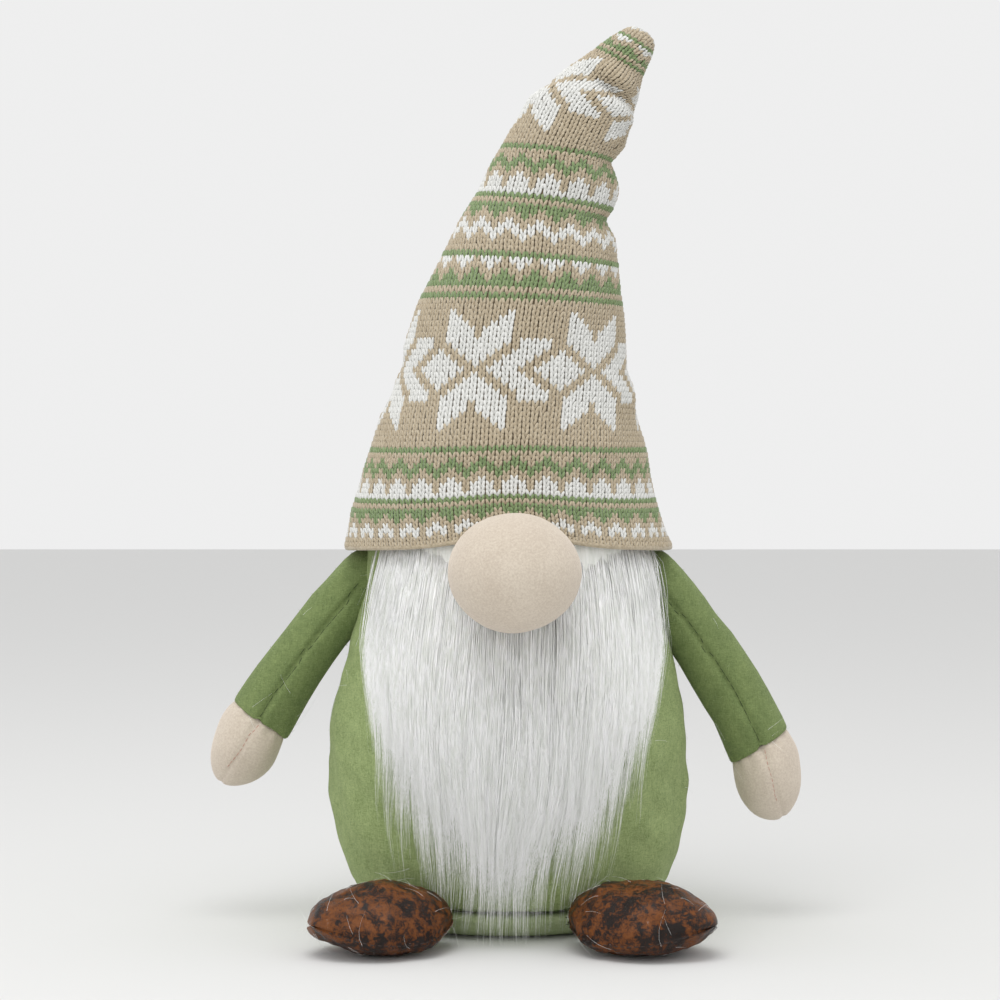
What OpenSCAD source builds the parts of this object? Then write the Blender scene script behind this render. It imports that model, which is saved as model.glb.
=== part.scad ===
// Plush tomte gnome: a felt sack with a weighted base, a knitted hat on a bendable wire,
// a stuffed nose, a long-pile beard, two stuffed arms and two stuffed shoes.
// The figure faces -Y and stands on Z = 0. Its own left is +X.

/* [Body] */
// Radius of the flat patch that the figure stands on
foot_r = 52; // [40:1:62]
// Radius of the seam between the base disc and the panels
base_seam_r = 66; // [63:1:79]
// Height of that seam
base_seam_z = 8; // [6:0.5:12]
// Largest radius of the belly
belly_r = 82; // [68:1:98]
// Height of the largest radius
belly_z = 72; // [60:1:86]
// Radius of the sack at the shoulders
shoulder_r = 66; // [56:1:79]
// Height of the shoulder pivots
shoulder_z = 151; // [140:1:181]
// Height of the domed crown, above where the head starts to round off
crown_h = 26; // [20:1:32]
// Thickness of the felt
felt_t = 1.5; // [1:0.1:2.5]

/* [Base weight] */
// Thickness of the card disc inside the base
board_t = 2.4; // [1.5:0.1:4]
// Height of the weight pouch
pouch_h = 26; // [18:1:34]
// Thickness of the pouch cloth
pouch_t = 0.8; // [0.4:0.1:1.2]

/* [Arms] */
// Radius of a sleeve at the shoulder
sleeve_top_r = 12.5; // [10.5:0.5:15]
// Radius of a sleeve at the cuff
cuff_r = 14.2; // [11.5:0.1:17.5]
// Length of the figure's left sleeve, pivot to cuff
left_sleeve_l = 86; // [70:1:104]
// Length of the figure's right sleeve, which is sewn in deeper
right_sleeve_l = 76; // [62:1:92]
// Angle of the left arm from vertical
left_hang = 32.3; // [28:0.1:60]
// Angle of the right arm from vertical
right_hang = 36; // [28:0.1:60]
// Angle that an arm can be pressed in towards the belly
press_in = 2.5; // [0:0.5:6]
// Length of a hand beyond the cuff
hand_l = 34; // [28:1:41]
// Thickness of the hand's flannel
flannel_t = 1.2; // [0.8:0.1:1.8]

/* [Hat] */
// Outer radius of the brim
brim_r = 73.5; // [73:0.5:89]
// Height of the first bend above the brim
bend_h = 85; // [78:1:102]
// Length of the middle section, from bend to bend
middle_l = 100; // [84:1:120]
// Length of the tip section, from bend to end
tip_l = 62.5; // [52:0.5:75]
// Lean of the middle section from vertical
middle_lean = 12.6; // [0:0.1:20]
// Lean of the tip section from vertical
tip_lean = 34.7; // [13:0.1:45]
// Radius of the rounded end of the tip
tip_r = 8.5; // [6:0.5:11]
// Thickness of the knitted fabric
knit_t = 1.6; // [1:0.1:2.4]
// Depth of the turned-in hem
hem_h = 12; // [8:1:16]
// Diameter of the bendable wire
wire_d = 2; // [1.4:0.1:3]

/* [Nose and beard] */
// Half width of the nose
nose_rx = 28.5; // [24:0.5:34]
// Radius of the nose in depth and height
nose_r = 25; // [21:0.5:29]
// Distance of the nose to the side of the middle
nose_x = 2; // [0:0.5:4]
// Thickness of the beard's combed pile
pile_t = 7; // [5:0.5:9]
// Thickness of the fur's knitted backing
backing_t = 1.3; // [0.8:0.1:2]
// Half width of the beard under the brim
beard_half_w = 48; // [38:1:50]
// Half width of the beard over the belly
beard_wide_w = 62; // [50:1:66]
// Half width of the beard at its lower end
beard_end_half_w = 14; // [10:1:17]
// Height of the beard's lower end
beard_end_z = 12; // [10:1:40]

/* [Shoes] */
// Length of a shoe
shoe_l = 66; // [56:1:79]
// Width of a shoe
shoe_w = 46; // [38:1:52]
// Height of a shoe before its bottom is flattened
shoe_h = 30; // [25:1:36]
// Angle that the toes turn out, from the side towards the front
toe_out = 29.5; // [20:0.5:40]
// Thickness of the coated leather cloth
leather_t = 1.2; // [0.8:0.1:1.8]

/* [Hidden] */

$fn = 96;
felt = "#718f4d";
felt_shade = "#5d7a3e";
knit = "#c6b08a";
flannel = "#ddccbb";
fur = "#e4e7e2";
leather = "#6d3a1d";
stuffing = "#f4f4f0";
card = "#b49a72";
cotton = "#e8e2d2";
pellet = "#9aa0a4";
steel = "#8d9196";
green_thread = "#33481f";
pink_thread = "#c99c8c";
brown_thread = "#2b1a12";

big = 400;              // larger than the whole figure, for cutting
touch = 0.05;           // between two pieces that are sewn edge to edge
pack_gap = 0.2;         // between a filling and the cover around it
free_gap = 0.5;         // between two pieces that move past each other
shank_t = 2.1;          // thread shank between the sack and a sleeve
shank_r = 4;
thread_r = 0.35;
stitch_l = 3;
stitch_pitch = 5;

// Heights that follow from the body
head_z = shoulder_z + 21;
crown_z = head_z + crown_h;
head_r = shoulder_r - 2;
brim_z = shoulder_z + sleeve_top_r + 1.5;

function arc(centre, a, b, from, to, n) =
    [for (i = [0:n]) let (t = from + (to - from) * i / n)
        [centre[0] + a * cos(t), centre[1] + b * sin(t)]];

function spline_point(p0, p1, p2, p3, t) =
    0.5 * (2 * p1 + (p2 - p0) * t + (2 * p0 - 5 * p1 + 4 * p2 - p3) * t * t
        + (3 * p1 - p0 - 3 * p2 + p3) * t * t * t);

// A rounded line through a few points
function smooth(pts, n) = let (last = len(pts) - 1)
    [for (i = [0:last - 1]) for (j = [0:n - 1])
        spline_point(pts[max(i - 1, 0)], pts[i], pts[i + 1], pts[min(i + 2, last)], j / n),
     pts[last]];

function inset_by(pts, d) = [for (p = pts) [p[0] - d, p[1]]];
function backwards(pts) = [for (i = [len(pts) - 1:-1:0]) pts[i]];
function clamp(x, low, high) = min(max(x, low), high);
function radius_at(pts, z) = lookup(z, [for (p = pts) [p[1], p[0]]]);

// Side of the sack as [radius, height], base seam to head
belly_top = shoulder_z - belly_z;
side = smooth([
    [base_seam_r, base_seam_z],
    [base_seam_r + 0.72 * (belly_r - base_seam_r), base_seam_z + 0.39 * (belly_z - base_seam_z)],
    [belly_r, belly_z],
    [shoulder_r + 0.6 * (belly_r - shoulder_r), belly_z + 0.43 * belly_top],
    [shoulder_r + 2, belly_z + 0.75 * belly_top],
    [shoulder_r, shoulder_z],
    [head_r, head_z]
], 4);
function sack_r(z) = radius_at(side, z);

// The least angle at which a sleeve clears the belly below its pivot
function clearing_angle(z) = let (q = sack_r(z) + free_gap - shoulder_r, drop = shoulder_z - z)
    atan2(q, drop) + asin(min(1, (cuff_r + free_gap) / norm([q, drop])));
least_hang = max([for (z = [belly_z:6:shoulder_z - 45]) clearing_angle(z)]);
hang_l = max(left_hang, least_hang + press_in);
hang_r = max(right_hang, least_hang + press_in);
pocket_angle = min(hang_l, hang_r) - press_in - 0.5;
pocket_x = shoulder_r - sleeve_top_r - free_gap - shank_t - pack_gap;
pocket_r = shank_r + 2;

module turned(pts) {
    rotate_extrude() polygon(pts);
}

// ---- The sack -------------------------------------------------------------

// The hollow in each side where a shoulder turns. It deepens by grow.
module shoulder_pocket(side_x, grow) {
    clear = (sleeve_top_r + free_gap + 0.4) / cos(pocket_angle);
    start = shoulder_r - clear;
    reach = belly_r + 5 - start;
    mirror([side_x < 0 ? 1 : 0, 0, 0])
        translate([0, 0, shoulder_z]) rotate([0, 90, 0]) {
            translate([0, 0, pocket_x - grow]) cylinder(r = pocket_r + grow, h = big / 4);
            translate([0, 0, start - grow])
                cylinder(r1 = 0.1 + grow, r2 = 0.1 + grow + reach / tan(pocket_angle), h = reach);
        }
}

// Everything inside the sack's surface, drawn in by inset, above height low
module sack_solid(inset, low) {
    outline = [for (p = inset_by(side, inset)) if (p[1] > low) p];
    difference() {
        turned(concat([[0, low], [sack_r(low) - inset, low]], outline,
            arc([0, head_z], head_r - inset, crown_h - inset, 4, 86, 8),
            [[0, crown_z - inset]]));
        for (s = [-1, 1]) shoulder_pocket(s, inset);
    }
}

module panels() {
    difference() {
        sack_solid(0, base_seam_z);
        sack_solid(felt_t, base_seam_z - 1);
        translate([0, 0, base_seam_z - 2]) cylinder(r = base_seam_r - felt_t, h = 3);
        nose_thread_solid(0.1);
    }
}

module half(front) {
    translate([-big / 2, front ? -big : touch, -1]) cube([big, big - (front ? touch : 0), big]);
}

module body_front() color(felt) intersection() { panels(); half(true); }
module body_back() color(felt) intersection() { panels(); half(false); }

base_curve = arc([foot_r, base_seam_z - touch], base_seam_r - foot_r, base_seam_z - touch, -90, 0, 8);

module base_disc() color(felt_shade)
    turned(concat([[0, 0]], base_curve,
        backwards([for (p = base_curve) [p[0] - felt_t * cos(45), p[1] + felt_t * (1 - (p[0] - foot_r)
            / (base_seam_r - foot_r))]]),
        [[0, felt_t]]));

board_z = felt_t + pack_gap;
pouch_z = board_z + board_t + pack_gap;
board_r = foot_r - 2;
pouch_r = foot_r - 6;
pouch_round = 8;

module base_board() color(card) translate([0, 0, board_z]) cylinder(r = board_r, h = board_t);

// A soft round cushion shape, drawn in by inset
module pouch_solid(inset) {
    h = pouch_h - 2 * inset;
    rounding = pouch_round - inset;
    translate([0, 0, pouch_z + inset])
        turned(concat([[0, 0]],
            arc([pouch_r - pouch_round, rounding], rounding, rounding, -90, 0, 6),
            arc([pouch_r - pouch_round, h - rounding], rounding, rounding, 0, 90, 6),
            [[0, h]]));
}

module weight_pouch() color(cotton) difference() { pouch_solid(0); pouch_solid(pouch_t); }
module weight_pellets() color(pellet) pouch_solid(pouch_t + pack_gap);

module body_fill() color(stuffing) difference() {
    sack_solid(felt_t + pack_gap, base_seam_z + 2);
    translate([0, 0, -1]) cylinder(r = pouch_r + pack_gap, h = pouch_z + pouch_h + 1 + pack_gap);
    nose_thread_solid(0.1);
}

// ---- Stitching ------------------------------------------------------------

module stitch() {
    translate([0, 0, -stitch_l / 2]) cylinder(r = thread_r, h = stitch_l, $fn = 16);
}

module side_seam(s) color(green_thread)
    for (z = [base_seam_z + 10:stitch_pitch:shoulder_z - 52])
        let (lean = atan2(sack_r(z + 1) - sack_r(z - 1), 2))
            translate([s * (sack_r(z) + thread_r + 0.2), 0, z]) rotate([0, s * lean, 0]) stitch();

base_stitches = 40;

module base_seam() color(green_thread)
    for (i = [0:base_stitches - 1])
        rotate([0, 0, 360 * (i + 0.5) / base_stitches])
            translate([base_seam_r + thread_r + 0.3, 0, base_seam_z]) rotate([90, 0, 0]) stitch();

// ---- The hat --------------------------------------------------------------

bend_z = brim_z + bend_h;
ball_r = brim_r * 0.673;         // ball at the foot of the middle section
tip_ball_r = ball_r * 0.475;     // ball at the foot of the tip section
lean_most = 25;                  // greatest lean of the middle section, in degrees
bend_most = 34;                  // greatest bend between the middle section and the tip
ball_dip = lean_most + 7;        // degrees that each ball reaches below its pivot
tip_dip = bend_most + 10;
rim_drop = 4;                    // how far a cup's rim stays below the pivot
tip_rim_drop = 3;

hat_side = smooth([
    [brim_r, brim_z],
    [brim_r - 1.4, brim_z + 0.08 * bend_h],
    [brim_r - 5.7, brim_z + 0.24 * bend_h],
    [brim_r - 10.5, brim_z + 0.47 * bend_h],
    [ball_r + 7.5, brim_z + 0.71 * bend_h],
    [ball_r + 2.5, bend_z - rim_drop]
], 3);

module hat_shell_lower() {
    turned(concat(hat_side, backwards(inset_by(hat_side, knit_t))));
}

module hat_lower() color(knit) difference() { hat_shell_lower(); nose_solid(-0.6); }

module hat_hem() color(knit) difference() {
    low = brim_z + pack_gap;
    r_low = radius_at(hat_side, low) - knit_t - 0.1;
    r_high = radius_at(hat_side, low + hem_h) - knit_t - 0.1;
    turned([[r_low, low], [r_high, low + hem_h], [r_high - knit_t, low + hem_h],
        [r_low - knit_t, low]]);
    nose_solid(-0.6);
}

cavity_z = bend_z - (ball_r + free_gap) * sin(ball_dip + lean_most) - free_gap;
fill_top_z = bend_z - 15;

module hat_fill_lower() color(stuffing) difference() {
    low = head_z + 8;
    outline = [for (p = inset_by(hat_side, knit_t + pack_gap))
        if (p[1] > low && p[1] < fill_top_z) p];
    turned(concat([[0, low], [radius_at(hat_side, low) - knit_t - pack_gap, low]], outline,
        [[radius_at(hat_side, fill_top_z) - knit_t - pack_gap, fill_top_z], [0, fill_top_z]]));
    turned(concat([[0, low - 1], [head_r + pack_gap, low - 1]],
        arc([0, head_z], head_r + pack_gap, crown_h + pack_gap, 16, 86, 8),
        [[0, crown_z + pack_gap]]));
    intersection() {
        translate([0, 0, bend_z]) sphere(r = ball_r + free_gap);
        translate([-big / 2, -big / 2, cavity_z]) cube(big);
    }
    hat_wire_lower_solid(0.1);
    nose_solid(-0.4);
}

// The wire's foot lies across the crown, and its stem stands up in the stuffing
module hat_wire_lower_solid(grow) {
    foot_z = crown_z + 2.5;
    translate([-20 - grow, 0, foot_z]) rotate([0, 90, 0])
        cylinder(r = wire_d / 2 + grow, h = 40 + 2 * grow, $fn = 24);
    translate([0, 0, foot_z]) cylinder(r = wire_d / 2 + grow, h = cavity_z - foot_z - 1 + 2 * grow, $fn = 24);
}

module hat_wire_lower() color(steel) hat_wire_lower_solid(0);

// Local frame of the middle section: origin at the bend, +Z along the section
module at_bend() {
    translate([0, 0, bend_z]) rotate([0, middle_lean, 0]) children();
}

module at_tip_bend() {
    translate([middle_l * sin(middle_lean), 0, bend_z + middle_l * cos(middle_lean)])
        rotate([0, tip_lean, 0]) children();
}

// A ball foot that runs into a taper: inset draws it in
function ball_foot(r, dip, inset) = arc([0, 0], r - inset, r - inset, -dip, 20, 10);

middle_rim = middle_l - tip_rim_drop;
function middle_outline(inset) = concat(ball_foot(ball_r, ball_dip, inset),
    [[tip_ball_r + 2.2 - inset, middle_rim]]);

module hat_middle() color(knit) at_bend()
    turned(concat(middle_outline(0), backwards(middle_outline(knit_t))));

tip_cavity = middle_l - (tip_ball_r + free_gap) * sin(tip_dip + bend_most) - free_gap;

module hat_fill_middle() color(stuffing) difference() {
    at_bend() difference() {
        top = middle_l - 10;
        inset = knit_t + pack_gap;
        foot = ball_foot(ball_r, ball_dip, inset);
        end = foot[len(foot) - 1];
        r_top = end[0] + (tip_ball_r + 2.2 - inset - end[0]) * (top - end[1]) / (middle_rim - end[1]);
        turned(concat([[0, foot[0][1]]], foot, [[r_top, top], [0, top]]));
        translate([0, 0, tip_cavity]) cylinder(r = wire_d + 2, h = big);
        translate([0, 0, -1 - ball_r * sin(ball_dip)]) hat_wire_hole(tip_cavity + 1 + ball_r * sin(ball_dip));
    }
    at_bend() intersection() {
        translate([0, 0, middle_l]) sphere(r = tip_ball_r + free_gap);
        translate([-big / 2, -big / 2, tip_cavity]) cube(big);
    }
}

module hat_wire_hole(h) cylinder(r = wire_d / 2 + 0.1, h = h, $fn = 24);

module hat_wire_middle() color(steel) at_bend() {
    low = 1 - ball_r * sin(ball_dip);
    translate([0, 0, low]) cylinder(r = wire_d / 2, h = tip_cavity - 1 - low, $fn = 24);
}

function tip_outline(inset) = concat(
    arc([0, 0], tip_ball_r - inset, tip_ball_r - inset, -tip_dip, 28, 10),
    [[tip_ball_r * 0.79 - inset, tip_l * 0.38], [tip_ball_r * 0.63 - inset, tip_l * 0.6]],
    arc([0, tip_l - tip_r], tip_r - inset, tip_r - inset, 16, 86, 6),
    [[0, tip_l - inset]]);

module hat_tip() color(knit) at_tip_bend() difference() {
    turned(concat([[0, tip_outline(0)[0][1]]], tip_outline(0)));
    turned(concat([[0, tip_outline(knit_t)[0][1] - 2],
        [tip_outline(knit_t)[0][0], tip_outline(knit_t)[0][1] - 2]], tip_outline(knit_t)));
}

wire_tip_h = tip_l * 0.72;

module hat_fill_tip() color(stuffing) at_tip_bend() difference() {
    inset = knit_t + pack_gap;
    turned(concat([[0, tip_outline(inset)[0][1]]], tip_outline(inset)));
    translate([0, 0, -tip_ball_r]) hat_wire_hole(wire_tip_h + tip_ball_r + 0.1);
}

module hat_wire_tip() color(steel) at_tip_bend() {
    low = 1 - tip_ball_r * sin(tip_dip);
    translate([0, 0, low]) cylinder(r = wire_d / 2, h = wire_tip_h - low, $fn = 24);
}

// ---- Nose -----------------------------------------------------------------

nose_z = brim_z - 5;
nose_y = -(sack_r(nose_z) + 0.3 + backing_t + 0.8 + nose_r);

module nose_solid(inset) {
    translate([nose_x, nose_y, nose_z]) rotate([0, 90, 0])
        turned(concat([[0, -(nose_rx - inset)]],
            arc([0, 0], nose_r - inset, nose_rx - inset, -84, 84, 20),
            [[0, nose_rx - inset]]));
}

module nose_cover() color(flannel) difference() { nose_solid(0); nose_solid(flannel_t); nose_thread_solid(0.1); }
module nose_fill() color(stuffing) difference() { nose_solid(flannel_t + pack_gap); nose_thread_solid(0.1); }

// The thread that holds the nose runs through the fur's backing into the head
module nose_thread_solid(grow) {
    start = nose_y + nose_r - 8;
    for (dx = [-4, 4])
        translate([nose_x + dx, start - grow, nose_z]) rotate([-90, 0, 0])
            cylinder(r = 0.8 + grow, h = 18 + 2 * grow, $fn = 24);
}

module nose_thread() color(pink_thread) nose_thread_solid(0);

// ---- Beard ----------------------------------------------------------------

beard_hinge_z = nose_z - nose_r - 7;
fall_top_z = beard_hinge_z - 7;
fall_wide_z = fall_top_z - 26;
fall_waist_z = 36;

// A layer over the sack's side, from near to far outside it, between two heights
module wrap(near, far, low, high) {
    rows = [for (p = side) if (p[1] > low && p[1] < high) p];
    ends = [[sack_r(low), low], [sack_r(high), high]];
    line = concat([ends[0]], rows, [ends[1]]);
    turned(concat(inset_by(line, -far), backwards(inset_by(line, -near))));
}

module front_cut(outline) {
    rotate([90, 0, 0]) linear_extrude(height = big) polygon(outline);
}

module beard_backing() color(fur) difference() {
    intersection() {
        wrap(0.3, 0.3 + backing_t, beard_hinge_z - 2, brim_z + 12);
        front_cut([[-beard_half_w, 0], [beard_half_w, 0], [beard_half_w, big], [-beard_half_w, big]]);
    }
    nose_thread_solid(0.1);
}

module beard_root_pile() color(fur) difference() {
    intersection() {
        wrap(backing_t + 0.5, backing_t + 4.2, beard_hinge_z + 3, brim_z - 0.5);
        front_cut([[-beard_half_w, 0], [beard_half_w, 0], [beard_half_w, big], [-beard_half_w, big]]);
    }
    nose_solid(-0.4);
    nose_thread_solid(0.1);
}

module fall_outline() {
    right = [
        [beard_end_half_w - 2, 0], [beard_end_half_w + 2, fall_waist_z],
        [0.6 * beard_wide_w, fall_waist_z + 8], [0.9 * beard_wide_w, fall_waist_z + 24],
        [beard_wide_w, fall_wide_z - 10], [beard_wide_w, fall_wide_z],
        [(beard_half_w + beard_wide_w) / 2 + 3, fall_top_z - 14], [beard_half_w, fall_top_z],
        [beard_half_w, big]
    ];
    front_cut(concat(right, [for (p = backwards(right)) [-p[0], p[1]]]));
}

module beard_fall_backing() color(fur) intersection() {
    wrap(free_gap, free_gap + backing_t, fall_wide_z - 30, fall_top_z);
    fall_outline();
}

module beard_fall_pile() color(fur) intersection() {
    wrap(free_gap + backing_t + pack_gap, free_gap + backing_t + pile_t, beard_end_z, fall_top_z);
    fall_outline();
}

// ---- Arms -----------------------------------------------------------------

module on_side(s) {
    mirror([s < 0 ? 1 : 0, 0, 0]) children();
}

// Local frame of an arm: origin at the shoulder pivot, +Z along the arm towards the hand
module at_shoulder(s) {
    on_side(s) translate([shoulder_r, 0, shoulder_z])
        rotate([0, 180 - (s < 0 ? hang_r : hang_l), 0]) children();
}

function sleeve_l(s) = s < 0 ? right_sleeve_l : left_sleeve_l;
function sleeve_r(s, h) = sleeve_top_r + (cuff_r - sleeve_top_r) * h / sleeve_l(s);

module shoulder_shank(s) color(green_thread) on_side(s)
    translate([pocket_x + pack_gap, 0, shoulder_z]) rotate([0, 90, 0])
        cylinder(r = shank_r, h = shank_t);

function sleeve_outline(s, inset) = concat([[0, inset - sleeve_top_r]],
    arc([0, 0], sleeve_top_r - inset, sleeve_top_r - inset, -84, 0, 10),
    [[cuff_r - inset, sleeve_l(s)]]);

module sleeve(s) color(felt) at_shoulder(s) difference() {
    turned(concat(sleeve_outline(s, 0), [[0, sleeve_l(s)]]));
    turned(concat(sleeve_outline(s, felt_t), [[cuff_r - felt_t, sleeve_l(s) + 1], [0, sleeve_l(s) + 1]]));
}

// Rounded end of the hand, from the cuff on
function hand_outline(s, inset) = let (z = sleeve_l(s) + touch, wide = 0.3 * hand_l)
    concat([[cuff_r - 0.2 - inset, z], [cuff_r + 0.5 - inset, z + 0.5 * wide]],
        arc([0, z + wide], cuff_r + 0.8 - inset, hand_l - wide - inset, 0, 86, 10),
        [[0, z + hand_l - inset]]);

module hand(s) color(flannel) at_shoulder(s) difference() {
    turned(concat([[0, sleeve_l(s) + touch]], hand_outline(s, 0)));
    turned(concat([[0, sleeve_l(s) - 1], [cuff_r - 0.2 - flannel_t, sleeve_l(s) - 1]],
        hand_outline(s, flannel_t)));
}

module arm_fill(s) color(stuffing) at_shoulder(s)
    turned(concat(sleeve_outline(s, felt_t + pack_gap), hand_outline(s, felt_t + pack_gap)));

module sleeve_seam(s) color(green_thread) at_shoulder(s)
    for (h = [6:stitch_pitch:sleeve_l(s) - 3])
        translate([0, -(sleeve_r(s, h) + thread_r + 0.2), h]) stitch();

module hand_seam(s) color(pink_thread) at_shoulder(s)
    for (h = [4:stitch_pitch:0.5 * hand_l])
        translate([0, -(cuff_r + 0.8 + thread_r + 0.3), sleeve_l(s) + h]) stitch();

// ---- Shoes ----------------------------------------------------------------

heel_r = base_seam_r + 0.72 * (belly_r - base_seam_r) - 2;
heel_angle = 71;                 // direction of the heel from the side towards the front
shoe_mid_z = shoe_h / 2 - 2;
seam_z = 9;

// Local frame of a shoe: origin at the heel on the floor, +X towards the toe
module at_heel(s) {
    on_side(s) rotate([0, 0, -heel_angle]) translate([heel_r, 0, 0])
        rotate([0, 0, heel_angle - toe_out]) children();
}

// Radius of the pointed spindle at a distance x from its middle, drawn in by inset
function bow_r(inset) = let (a = shoe_l / 2 - inset, b = shoe_w / 2 - inset) (a * a + b * b) / (2 * b);
function spindle_r(x, inset) = sqrt(bow_r(inset) ^ 2 - x * x) - bow_r(inset) + shoe_w / 2 - inset;

module spindle(inset) {
    a = shoe_l / 2 - inset;
    steps = 18;
    tall = (shoe_h / 2 - inset) / (shoe_w / 2 - inset);
    translate([shoe_l / 2, 0, shoe_mid_z]) scale([1, 1, tall]) rotate([0, 90, 0])
        turned(concat([[0, -a]],
            [for (i = [1:steps - 1]) let (x = -a * cos(180 * i / steps)) [spindle_r(x, inset), x]],
            [[0, a]]));
}

module above(z) translate([-big / 2, -big / 2, z]) cube(big);
module between(low, high) translate([-big / 2, -big / 2, low]) cube([big, big, high - low]);

module shoe_upper(s) color(leather) at_heel(s) intersection() {
    difference() { spindle(0); spindle(leather_t); }
    above(seam_z + touch);
}

module shoe_sole(s) color(leather) at_heel(s) difference() {
    intersection() { spindle(0); between(0, seam_z); }
    intersection() { spindle(leather_t); above(leather_t); }
}

module shoe_fill(s) color(stuffing) at_heel(s) intersection() {
    spindle(leather_t + pack_gap);
    above(leather_t + pack_gap);
}

shoe_stitches = 13;

module shoe_seam(s) color(brown_thread) at_heel(s)
    for (i = [1:shoe_stitches]) {
        a = shoe_l / 2;
        x = a * (1.7 * i / (shoe_stitches + 1) - 0.85);
        depth = (seam_z + 1.2 - shoe_mid_z) * shoe_w / shoe_h;
        y = sqrt(spindle_r(x, 0) ^ 2 - depth ^ 2) + thread_r + 0.4;
        turn = atan2(-x, spindle_r(x, 0) + bow_r(0) - shoe_w / 2);
        translate([a + x, -y, seam_z + 1.2]) rotate([0, 90, -turn]) stitch();
    }

// Thread that tacks the heel to the front panel
tack_r = 0.6;

module shoe_tack(s) color(brown_thread) on_side(s) rotate([0, 0, -heel_angle])
    for (dz = [0, 2.5, 5])
        let (z = 9.5 + dz, start = max(sack_r(z - tack_r), sack_r(z + tack_r)) + 0.3)
            translate([start, 0, z]) rotate([0, 90, 0])
                cylinder(r = tack_r, h = heel_r - 0.3 - start, $fn = 16);

// ---- Everything -----------------------------------------------------------

body_front();
body_back();
base_disc();
base_board();
weight_pouch();
weight_pellets();
body_fill();
side_seam(1);  // side_seam_left
side_seam(-1);  // side_seam_right
base_seam();
hat_lower();
hat_hem();
hat_fill_lower();
hat_wire_lower();
hat_middle();
hat_fill_middle();
hat_wire_middle();
hat_tip();
hat_fill_tip();
hat_wire_tip();
nose_cover();
nose_fill();
nose_thread();
beard_backing();
beard_root_pile();
beard_fall_backing();
beard_fall_pile();
shoulder_shank(1);  // shoulder_shank_left
shoulder_shank(-1);  // shoulder_shank_right
sleeve(1);  // sleeve_left
sleeve(-1);  // sleeve_right
hand(1);  // hand_left
hand(-1);  // hand_right
arm_fill(1);  // arm_fill_left
arm_fill(-1);  // arm_fill_right
sleeve_seam(1);  // sleeve_seam_left
sleeve_seam(-1);  // sleeve_seam_right
hand_seam(1);  // hand_seam_left
hand_seam(-1);  // hand_seam_right
shoe_upper(1);  // shoe_upper_left
shoe_upper(-1);  // shoe_upper_right
shoe_sole(1);  // shoe_sole_left
shoe_sole(-1);  // shoe_sole_right
shoe_fill(1);  // shoe_fill_left
shoe_fill(-1);  // shoe_fill_right
shoe_seam(1);  // shoe_seam_left
shoe_seam(-1);  // shoe_seam_right
shoe_tack(1);  // shoe_tack_left
shoe_tack(-1);  // shoe_tack_right
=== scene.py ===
"""Plush tomte gnome: knitted hat, ball nose, long fur beard, felt sack, stuffed arms and shoes."""

import math

import bmesh
import bpy
import numpy as np
from mathutils import Matrix, Vector


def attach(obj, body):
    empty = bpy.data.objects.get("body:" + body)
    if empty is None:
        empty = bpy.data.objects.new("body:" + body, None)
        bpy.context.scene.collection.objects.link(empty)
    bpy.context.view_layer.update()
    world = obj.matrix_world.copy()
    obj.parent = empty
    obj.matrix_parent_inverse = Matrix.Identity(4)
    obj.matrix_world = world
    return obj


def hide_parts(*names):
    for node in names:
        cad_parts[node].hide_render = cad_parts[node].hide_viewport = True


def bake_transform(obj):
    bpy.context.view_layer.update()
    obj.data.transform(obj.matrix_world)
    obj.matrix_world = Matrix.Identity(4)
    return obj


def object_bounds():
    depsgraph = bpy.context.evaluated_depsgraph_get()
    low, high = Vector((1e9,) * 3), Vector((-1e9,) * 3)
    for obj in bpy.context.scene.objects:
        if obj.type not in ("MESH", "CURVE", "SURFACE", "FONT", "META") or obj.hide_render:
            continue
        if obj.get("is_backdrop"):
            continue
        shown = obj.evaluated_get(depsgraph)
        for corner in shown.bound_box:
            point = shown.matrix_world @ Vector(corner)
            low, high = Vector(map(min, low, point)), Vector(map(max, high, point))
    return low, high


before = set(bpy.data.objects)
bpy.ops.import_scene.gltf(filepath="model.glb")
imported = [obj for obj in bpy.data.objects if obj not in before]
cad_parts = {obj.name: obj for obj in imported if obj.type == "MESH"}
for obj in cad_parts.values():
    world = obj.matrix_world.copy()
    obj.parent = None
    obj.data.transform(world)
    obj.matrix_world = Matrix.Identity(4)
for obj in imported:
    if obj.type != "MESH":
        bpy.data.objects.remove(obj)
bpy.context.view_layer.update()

# ---- Camera, floor and light ----------------------------------------------
# A long lens a little above the middle of the figure, with a plain white table and the
# even light of a white tent: one soft box overhead and a weaker one at the front left.

MM = 0.001
eye = Vector((-4.0, -1300.0, 220.0)) * MM
lens_mm = 104.2
look_down = math.radians(1.4)

camera = bpy.data.objects.new("camera", bpy.data.cameras.new("camera"))
bpy.context.collection.objects.link(camera)
camera.data.lens = lens_mm
camera.data.sensor_width = 36.0
camera.location = eye
camera.rotation_euler = (math.radians(90) - look_down, 0, 0)
bpy.context.scene.camera = camera


def colour(code):
    """An sRGB hex colour as linear red, green, blue and alpha."""
    parts = [int(code[i:i + 2], 16) / 255 for i in (1, 3, 5)]
    return tuple(c / 12.92 if c <= 0.04045 else ((c + 0.055) / 1.055) ** 2.4 for c in parts) + (1.0,)


def add(material, kind, links=None, values=None, **settings):
    """Adds a node with its settings, its socket values and its links to other nodes' sockets."""
    node = material.node_tree.nodes.new(kind)
    for name, value in settings.items():
        setattr(node, name, value)
    for name, value in (values or {}).items():
        node.inputs[name].default_value = value
    for name, socket in (links or {}).items():
        material.node_tree.links.new(socket, node.inputs[name])
    return node


def new_material(name):
    """An empty node material with its Principled shader."""
    material = bpy.data.materials.new(name)
    material.use_nodes = True
    return material, material.node_tree.nodes["Principled BSDF"]


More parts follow.
